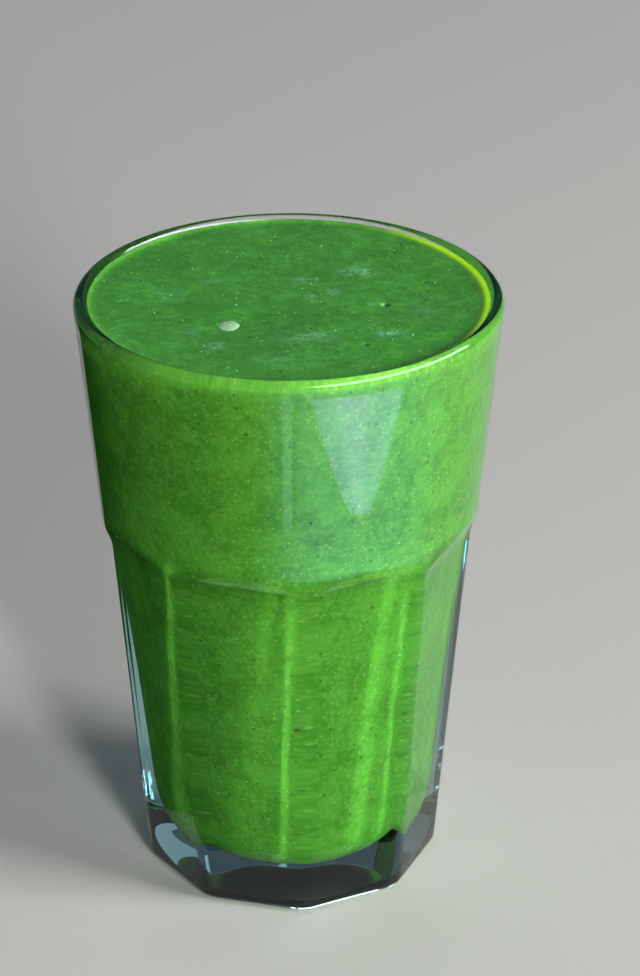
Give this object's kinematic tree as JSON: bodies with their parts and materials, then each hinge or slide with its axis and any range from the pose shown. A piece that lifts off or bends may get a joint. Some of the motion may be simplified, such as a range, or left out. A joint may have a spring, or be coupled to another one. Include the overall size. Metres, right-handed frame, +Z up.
{
  "type": "green smoothie in a glass tumbler",
  "caption": "Thick green smoothie filling a tall pressed-glass tumbler with flat sides, arched shoulders and a plain round rim.",
  "frame": {"origin": "middle of the underside, on the table", "axes": "+Z up through the mouth; a ridge between two flat sides faces -Y"},
  "size_m": [0.088, 0.088, 0.13],
  "materials": {
    "glass": "clear, faint blue-green tint",
    "smoothie": "thick green blended drink, stands in for food"
  },
  "bodies": {
    "root": {"glass": "glass", "smoothie": "smoothie"}
  },
  "joints": []
}
